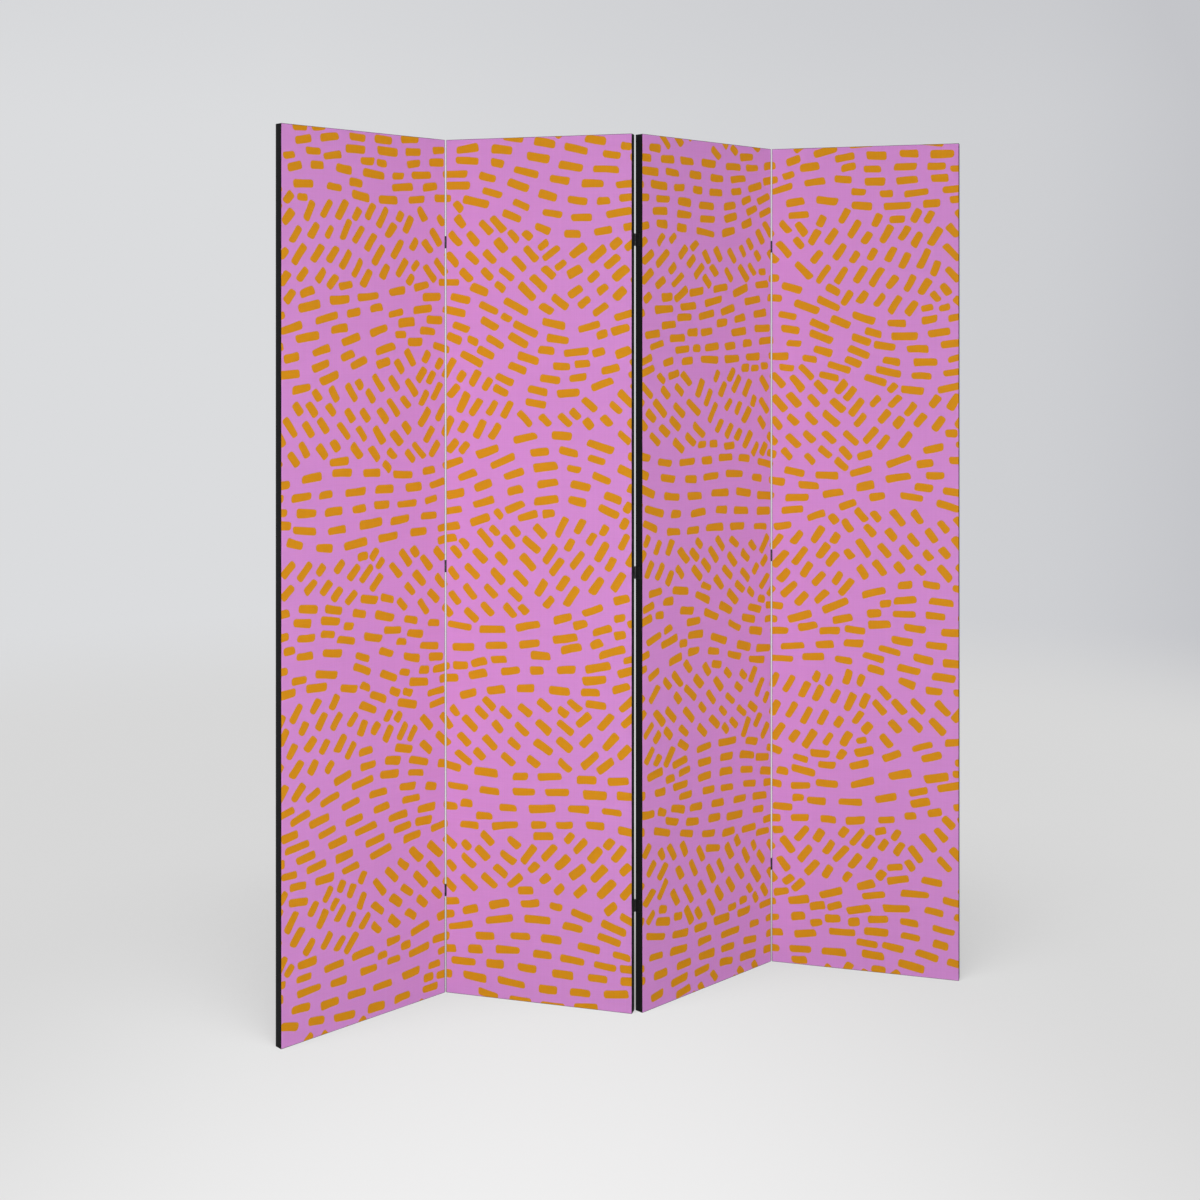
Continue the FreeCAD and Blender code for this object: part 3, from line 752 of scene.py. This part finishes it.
# Holes in the cloth for the hinge screws and the staples
fixings = {
    "screwInset": 8,
    "screwSpacing": 14,
    "screwHole": 1.36,
    "stapleMargin": 60,
    "sideStaples": 10,
    "endStaples": 3,
    "stapleCrown": 12.1,
    "stapleWidth": 1.3,
}


def screwPlaces(number, side):
    # depth from the front face and height of each screw on one edge of a panel
    face = hingeFaces[number].get(side)
    if face is None:
        return []
    inset = fixings["screwInset"] - screen["pinOffset"]
    depth = inset if face == "front" else screen["depth"] - inset
    return [(depth, screen["height"] * share + sign * fixings["screwSpacing"] / 2)
            for share in screen["hingeShares"] for sign in (-1, 1)]


def spread(count, length):
    start = screen["tape"] + screen["cloth"] + fixings["stapleMargin"]
    step = (length - 2 * screen["tape"] - 2 * screen["cloth"] - 2 * fixings["stapleMargin"]) / (count - 1)
    return [start + index * step for index in range(count)]


canvas = {
    "flap": 9,              # depth of the turned edges
    "corner": 0.7,          # radius over the edge of the frame
    "sag": 0.7,             # how far the middle gives, between the bars
    "sagShape": (1.5, 8),   # how gently it starts at the sides, and how flat it stays up the panel
    "frameEdge": (36, 41),  # from the panel's edges to the clear opening: sides, foot and top
    "gridStep": 24,
    "gridMargin": 12,
    "foldMargin": 1.2,      # of flat cloth beside a fold
    "cornerClear": 14,      # no dash is cut this near a corner of the face
}


def edgeTurn(places, low, high, radius, inset):
    # Cloth over a face from low to high, turned back at both ends: place along the face,
    # drop behind it, and how far down the turned edge
    past = np.maximum(places - (high - radius), (low + radius) - places)
    angle = np.clip(past / radius, 0, math.pi / 2)
    reach = (radius - inset) * np.sin(angle)
    turned = np.where(places > (low + high) / 2, high - radius + reach, low + radius - reach)
    return (np.where(past > 0, turned, places), radius - (radius - inset) * np.cos(angle),
            np.maximum(past - radius * math.pi / 2, 0))


def bendCanvas(flat, inset, face):
    radius, flap = canvas["corner"], canvas["flap"]
    low, right, top = faceEdges()
    x, dropX, downX = edgeTurn(flat[:, 0], low, right, radius, inset)
    z, dropZ, downZ = edgeTurn(flat[:, 1], low, top, radius, inset)
    y = dropX + dropZ - inset
    down = np.maximum(downX, downZ) / (flap - radius)
    y = y + (flap - y) * down
    side, end = canvas["frameEdge"]
    shareX = np.clip((x - side) / (screen["width"] - 2 * side), 0, 1)
    shareZ = np.clip((z - end) / (screen["height"] - 2 * end), 0, 1)
    gentle, level = canvas["sagShape"]
    give = (4 * shareX * (1 - shareX)) ** gentle * (1 - (2 * shareZ - 1) ** level) ** gentle
    y = y + canvas["sag"] * give
    if face == "back":      # turned half round
        x, y = screen["width"] - x, screen["depth"] - y
    return np.stack([x, y, z], axis=1)


def flapPlace(depth):
    # How far past the edge of the face, on the flat cloth, a point at this depth lies
    radius = canvas["corner"]
    return depth - radius + radius * math.pi / 2 - radius


def canvasOutline():
    low, right, top = faceEdges()
    out = flapPlace(canvas["flap"])
    notch = flapPlace(canvas["corner"])
    corner = [(right + notch, top + out), (right + notch, top + notch), (right + out, top + notch)]
    middleX, middleZ = (low + right) / 2, (low + top) / 2
    points = []
    for signX, signZ, order in ((1, 1, 1), (1, -1, -1), (-1, -1, 1), (-1, 1, -1)):
        turned = [(middleX + signX * (x - middleX), middleZ + signZ * (z - middleZ)) for x, z in corner]
        points += turned[::order]
    return points[::-1]


def canvasCutouts(number, face):
    low, right, top = faceEdges()
    holes = []
    for side in ("left", "right"):
        atRight = (side == "right") == (face == "front")
        for depth, height in screwPlaces(number, side):
            depth = depth if face == "front" else screen["depth"] - depth
            if depth < canvas["flap"]:
                out = flapPlace(depth)
                holes.append(circle(right + out if atRight else low - out, height, fixings["screwHole"]))
        near, far = flapPlace(screen["depth"] / 2 - fixings["stapleCrown"] / 2), flapPlace(canvas["flap"] + 1)
        half = fixings["stapleWidth"] / 2
        for height in spread(fixings["sideStaples"], screen["height"]):
            ends = (right + near, right + far) if atRight else (low - far, low - near)
            holes.append([(ends[0], height - half), (ends[1], height - half),
                          (ends[1], height + half), (ends[0], height + half)])
    for across in spread(fixings["endStaples"], screen["width"]):
        for ends in ((low - far, low - near), (top + near, top + far)):
            holes.append([(across - half, ends[0]), (across + half, ends[0]),
                          (across + half, ends[1]), (across - half, ends[1])])
    return holes


def canvasCreases():
    low, right, top = faceEdges()
    radius, out, notch = canvas["corner"], flapPlace(canvas["flap"]), flapPlace(canvas["corner"])
    steps = [-radius - canvas["foldMargin"]]
    steps += [-radius + (notch + radius) * share for share in clothMaking["foldAt"]]
    creases = []
    for step in steps:
        creases += [((x, low - out), (x, top + out)) for x in (low - step, right + step)]
        creases += [((low - out, z), (right + out, z)) for z in (low - step, top + step)]
    return creases


def grid(lowX, highX, lowY, highY, step):
    columns, rows = round((highX - lowX) / step), round((highY - lowY) / step)
    return [(lowX + (highX - lowX) * (i + 0.5 * (j % 2)) / columns, lowY + (highY - lowY) * j / rows)
            for i in range(columns) for j in range(rows + 1)]


def onFace(shape):
    # whether a dash reaches the face of a canvas and keeps clear of its corners
    low, right, top = faceEdges()
    margin = canvas["gridMargin"]
    across, up = zip(*shape)
    if max(across) < low - margin or min(across) > right + margin:
        return False
    if max(up) < low - margin or min(up) > top + margin:
        return False
    corners = [(low, low), (right, low), (low, top), (right, top)]
    return min(math.dist(point, corner) for point in shape for corner in corners) >= canvas["cornerClear"]


def makeCanvas(number, face, dashes):
    chance = random.Random(100 * number + len(face))
    position = number - 1 if face == "front" else len(screen["panels"]) - number
    start = position * printRules["panelPitch"] + 1
    low, right, top = faceEdges()
    margin = canvas["gridMargin"]
    printed = [[(x - start, y) for x, y in dashOutline(dash, chance)] for dash in dashes]
    shapes = [shape for shape in printed if onFace(shape)]
    dots = grid(low + margin, right - margin, low + margin, top - margin, canvas["gridStep"])
    cut = cutFlat(canvasOutline(), canvasCutouts(number, face), shapes, canvasCreases(), dots)
    name = f"panel_{number}_{face}_canvas_cloth"
    piece = makeCloth(name, cut, lambda flat, inset: bendCanvas(flat, inset, face), screen["cloth"],
                      [clothMaterials["ground"], clothMaterials["dashes"], clothMaterials["bare"]])
    piece.matrix_world = panelPlace(number)
    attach(piece, f"panel_{number}")
    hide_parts(f"panel_{number}_{face}_canvas")
    return len(shapes), len(cut[1])


for face in ("front", "back"):
    dashes = layOutPrint(printRules["seeds"][face])
    for number in screen["panels"]:
        print("canvas", number, face, makeCanvas(number, face, dashes))

# The tape round the edges of a panel: one length, whose ends meet in the middle of the foot

tape = {
    "corner": 0.6,          # radius at the corners of the panel
    "meeting": 0.3,         # gap between its ends
    "roll": 0.22,           # how far its long edges round off
    "rollWidth": 0.35,
    "rollAt": (0.35, 1),    # where the rounding is divided
    "stripe": 40,           # between the cross lines of its mesh
}


def tapeSides():
    # length, start and direction of each straight run, from the middle of the foot, clockwise
    width, height, radius = screen["width"], screen["height"], tape["corner"]
    return [
        (width / 2 - radius, (width / 2, 0), (-1, 0)),
        (height - 2 * radius, (0, radius), (0, 1)),
        (width - 2 * radius, (radius, height), (1, 0)),
        (height - 2 * radius, (width, height - radius), (0, -1)),
        (width / 2 - radius, (width - radius, 0), (-1, 0)),
    ]


def tapeStarts():
    arc = math.pi / 2 * tape["corner"]
    starts, total = [], 0.0
    for length, _, _ in tapeSides():
        starts.append(total)
        total += length + arc
    return starts, total - arc


def bendTape(flat, inset):
    along, across = flat[:, 0], flat[:, 1]
    if not inset:
        near = np.minimum(across, screen["depth"] - across)
        inset = tape["roll"] * np.clip(1 - near / tape["rollWidth"], 0, 1) ** 2
    inset = np.broadcast_to(inset, along.shape)
    radius = tape["corner"]
    x, z = np.zeros(len(flat)), np.zeros(len(flat))
    starts, _ = tapeStarts()
    for (length, (startX, startZ), (stepX, stepZ)), start in zip(tapeSides(), starts):
        inX, inZ = stepZ, -stepX            # from the outside of the tape into the panel
        straight = (along >= start - 1e-6) & (along <= start + length + 1e-6)
        x = np.where(straight, startX + stepX * (along - start) + inX * inset, x)
        z = np.where(straight, startZ + stepZ * (along - start) + inZ * inset, z)
        angle = (along - start - length) / radius
        turning = (angle > 0) & (angle < math.pi / 2)
        centreX = startX + stepX * length + inX * radius
        centreZ = startZ + stepZ * length + inZ * radius
        reach = radius - inset
        x = np.where(turning, centreX + reach * (stepX * np.sin(angle) - inX * np.cos(angle)), x)
        z = np.where(turning, centreZ + reach * (stepZ * np.sin(angle) - inZ * np.cos(angle)), z)
    return np.stack([x, across, z], axis=1)


def makeTape(number):
    depth, radius = screen["depth"], tape["corner"]
    starts, total = tapeStarts()
    low, high = tape["meeting"] / 2, total - tape["meeting"] / 2
    outline = [(low, 0), (high, 0), (high, depth), (low, depth)]
    holes = []
    for across, height in screwPlaces(number, "left"):
        holes.append(circle(starts[1] + height - radius, across, fixings["screwHole"]))
    for across, height in screwPlaces(number, "right"):
        holes.append(circle(starts[3] + screen["height"] - radius - height, across, fixings["screwHole"]))
    arc = math.pi / 2 * radius
    lines = [start - arc * share for start in starts[1:] for share in clothMaking["foldAt"]]
    for (length, _, _), start in zip(tapeSides(), starts):
        count = round(length / tape["stripe"])
        lines += [start + length * i / count for i in range(1, count)]
    creases = [((line, 0), (line, depth)) for line in lines]
    for share in tape["rollAt"]:
        edge = tape["rollWidth"] * share
        creases += [((low, across), (high, across)) for across in (edge, depth - edge)]
    cut = cutFlat(outline, holes, (), creases)
    piece = makeCloth(f"panel_{number}_edge_tape_cloth", cut, bendTape, screen["tape"],
                      [clothMaterials["tape"]])
    piece.matrix_world = panelPlace(number)
    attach(piece, f"panel_{number}")
    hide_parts(f"panel_{number}_edge_tape")
    return len(cut[1])


for number in screen["panels"]:
    print("edge tape", number, makeTape(number))

# Floor, background, lamps and camera

white = (1, 1, 1, 1)
studio = {
    "floorSize": 16,
    "floorColour": colour(64, 64, 64),
    "floorFinish": {"broadScale": 0.6, "fineScale": 40.0, "unevenness": 0.02, "roughness": 0.9,
                    "specular": 0.0},
    "floorFade": (2.75, 5.18),          # metres from the screen, where the floor gives way to the background
    "poolCentre": (-0.82, -2.65, 0.0),  # where the floor is brightest
    "poolReach": (0.37, 1.63),
    "poolShape": (1.0, 0.36, 1.0),      # it is longer towards the screen
    "poolGlow": (0.862, 0.658),         # at the centre of the pool and past its reach
    "shadowTilt": (-0.7, -2.4, 0.0),    # towards the side that the soft light on the floor comes from
    "shadowReach": 1.3,
    "shadowSamples": 24,
    "shadowDepth": (0.175, 0.884),      # light left where none gets past the screen, and what open floor adds
    "background": (colour(219, 220, 222), colour(196, 197, 201)),
    "ambient": 0.18,
    "behind": 1.6,                      # light from the far side of the studio, for the back of the screen
    "behindSpan": (0.25, 0.85),
    # spans of direction over which the background darkens, and by how much
    "darkerRight": ((-0.18, 0.36), 0.72),
    "darkCorner": ((0.24, 0.42), 0.5),
    "darkerAbove": ((0.115, 0.21), 0.2),
    "viewTurn": 13.864,
}


def seenAsBackdrop(tree):
    # 1 for the camera, and for what shows in metal
    path = addNode(tree, "LightPath").outputs
    mirrored = maths(tree, "MAXIMUM", path["Is Glossy Ray"], path["Is Transmission Ray"])
    return maths(tree, "MAXIMUM", path["Is Camera Ray"], mirrored)


def makeFloor():
    half = studio["floorSize"] / 2
    mesh = bpy.data.meshes.new("studioFloor")
    corners = [(-half, -half, 0), (half, -half, 0), (half, half, 0), (-half, half, 0)]
    mesh.from_pydata(corners, [], [(0, 1, 2, 3)])
    floor = bpy.data.objects.new("studioFloor", mesh)
    bpy.context.scene.collection.objects.link(floor)
    material, tree, shader = startMaterial("paleFloor")
    inPlace = addNode(tree, "TexCoord").outputs["Object"]
    finish = studio["floorFinish"]
    shaded = shadeBy(tree, studio["floorColour"], mottled(tree, inPlace, finish)["Shade"])
    # To the camera the floor also has a soft pool of light, which the screen keeps off behind it
    turned = addNode(tree, "VectorRotate", {"Vector": inPlace, "Center": studio["poolCentre"],
                                            "Angle": math.radians(studio["viewTurn"])},
                     rotation_type="Z_AXIS")
    fromPool = vectorMaths(tree, "SUBTRACT", turned.outputs[0], studio["poolCentre"])
    shaped = vectorMaths(tree, "MULTIPLY", fromPool, studio["poolShape"])
    pool = rescale(tree, lengthOf(tree, shaped), *studio["poolReach"], *studio["poolGlow"], smooth=True)
    upright = addNode(tree, "NewGeometry").outputs["Normal"]
    tilted = vectorMaths(tree, "ADD", upright, studio["shadowTilt"])
    towards = addNode(tree, "VectorMath", {0: tilted}, operation="NORMALIZE").outputs[0]
    unshaded = addNode(tree, "AmbientOcclusion", {"Distance": studio["shadowReach"], "Normal": towards},
                       samples=studio["shadowSamples"]).outputs["AO"]
    least, added = studio["shadowDepth"]
    lit = maths(tree, "MULTIPLY_ADD", unshaded, added, least, clamp=True)
    glow = maths(tree, "MULTIPLY", maths(tree, "MULTIPLY", pool, lit), seenAsBackdrop(tree))
    join(tree, shader, Base_Color=shaded, Roughness=finish["roughness"],
         Specular_IOR_Level=finish["specular"], Emission_Color=white, Emission_Strength=glow)
    fade = rescale(tree, lengthOf(tree, inPlace), *studio["floorFade"], smooth=True)
    clear = addNode(tree, "BsdfTransparent")
    mixed = addNode(tree, "MixShader", {0: fade, 1: shader.outputs[0], 2: clear.outputs[0]})
    tree.links.new(mixed.outputs[0], tree.nodes["Material Output"].inputs["Surface"])
    mesh.materials.append(material)


def makeBackground():
    world = bpy.data.worlds.new("paleStudio")
    bpy.context.scene.world = world
    world.use_nodes = True
    tree = world.node_tree
    direction = addNode(tree, "TexCoord").outputs["Generated"]
    away = addNode(tree, "SeparateXYZ", {0: direction}).outputs
    glow = rescale(tree, away[1], *studio["behindSpan"], studio["ambient"], studio["behind"], smooth=True)
    ambient = tree.nodes["Background"]
    ambient.inputs["Color"].default_value = white
    tree.links.new(glow, ambient.inputs["Strength"])
    turn = math.radians(studio["viewTurn"])
    toRight = dotProduct(tree, direction, (math.cos(turn), -math.sin(turn), 0))
    (low, high), most = studio["darkerRight"]
    across = rescale(tree, toRight, low, high, 0.0, most)
    (low, high), most = studio["darkCorner"]
    corner = rescale(tree, toRight, low, high, 0.0, most, smooth=True)
    (low, high), most = studio["darkerAbove"]
    above = rescale(tree, away[2], low, high, 0.0, most, smooth=True)
    share = maths(tree, "ADD", across, maths(tree, "ADD", corner, above))
    shown = addNode(tree, "Background", {"Color": blendColours(tree, share, *studio["background"])})
    mixed = addNode(tree, "MixShader", {0: seenAsBackdrop(tree), 1: ambient.outputs[0], 2: shown.outputs[0]})
    tree.links.new(mixed.outputs[0], tree.nodes["World Output"].inputs["Surface"])


# sizes in metres, power in watts
lamps = {
    "frontSoftbox": {"place": (-0.9, -4.2, 1.3), "aim": (0.0, 0.0, 0.9), "size": (3.0, 2.4), "power": 20},
    "lowSoftbox": {"place": (-0.6, -3.4, 0.5), "aim": (0.0, 0.0, 0.5), "size": (2.8, 0.8), "power": 36},
    "nearLeftSoftbox": {"place": (-2.0, -2.6, 1.1), "aim": (-0.1, 0.0, 0.9), "size": (1.6, 1.8),
                        "power": 41.5},
    "rightSoftbox": {"place": (2.8, -3.4, 1.2), "aim": (0.1, 0.0, 0.9), "size": (2.4, 2.4), "power": 54},
}


def makeLamp(name, given):
    light = bpy.data.lights.new(name, "AREA")
    light.shape = "RECTANGLE"
    light.size, light.size_y = given["size"]
    light.energy = given["power"]
    lamp = bpy.data.objects.new(name, light)
    lamp.location = given["place"]
    direction = Vector(given["aim"]) - Vector(given["place"])
    lamp.rotation_euler = direction.to_track_quat("-Z", "Y").to_euler()
    lamp.visible_camera = False
    bpy.context.scene.collection.objects.link(lamp)


cameraSetup = {
    "place": (-0.88781, -3.37044, 1.37393),
    "lens": 50,
    "sensor": 36,
    "shift": (0.00214, -0.22010),
}


def makeCamera():
    data = bpy.data.cameras.new("photoCamera")
    data.lens, data.sensor_width = cameraSetup["lens"], cameraSetup["sensor"]
    data.shift_x, data.shift_y = cameraSetup["shift"]
    data.dof.use_dof = False
    camera = bpy.data.objects.new("photoCamera", data)
    camera.location = cameraSetup["place"]
    camera.rotation_euler = (math.radians(90), 0, -math.radians(studio["viewTurn"]))
    bpy.context.scene.collection.objects.link(camera)
    bpy.context.scene.camera = camera


makeFloor()
makeBackground()
for name, given in lamps.items():
    makeLamp(name, given)
makeCamera()
bpy.context.scene.view_settings.view_transform = "Standard"
print("studio made")
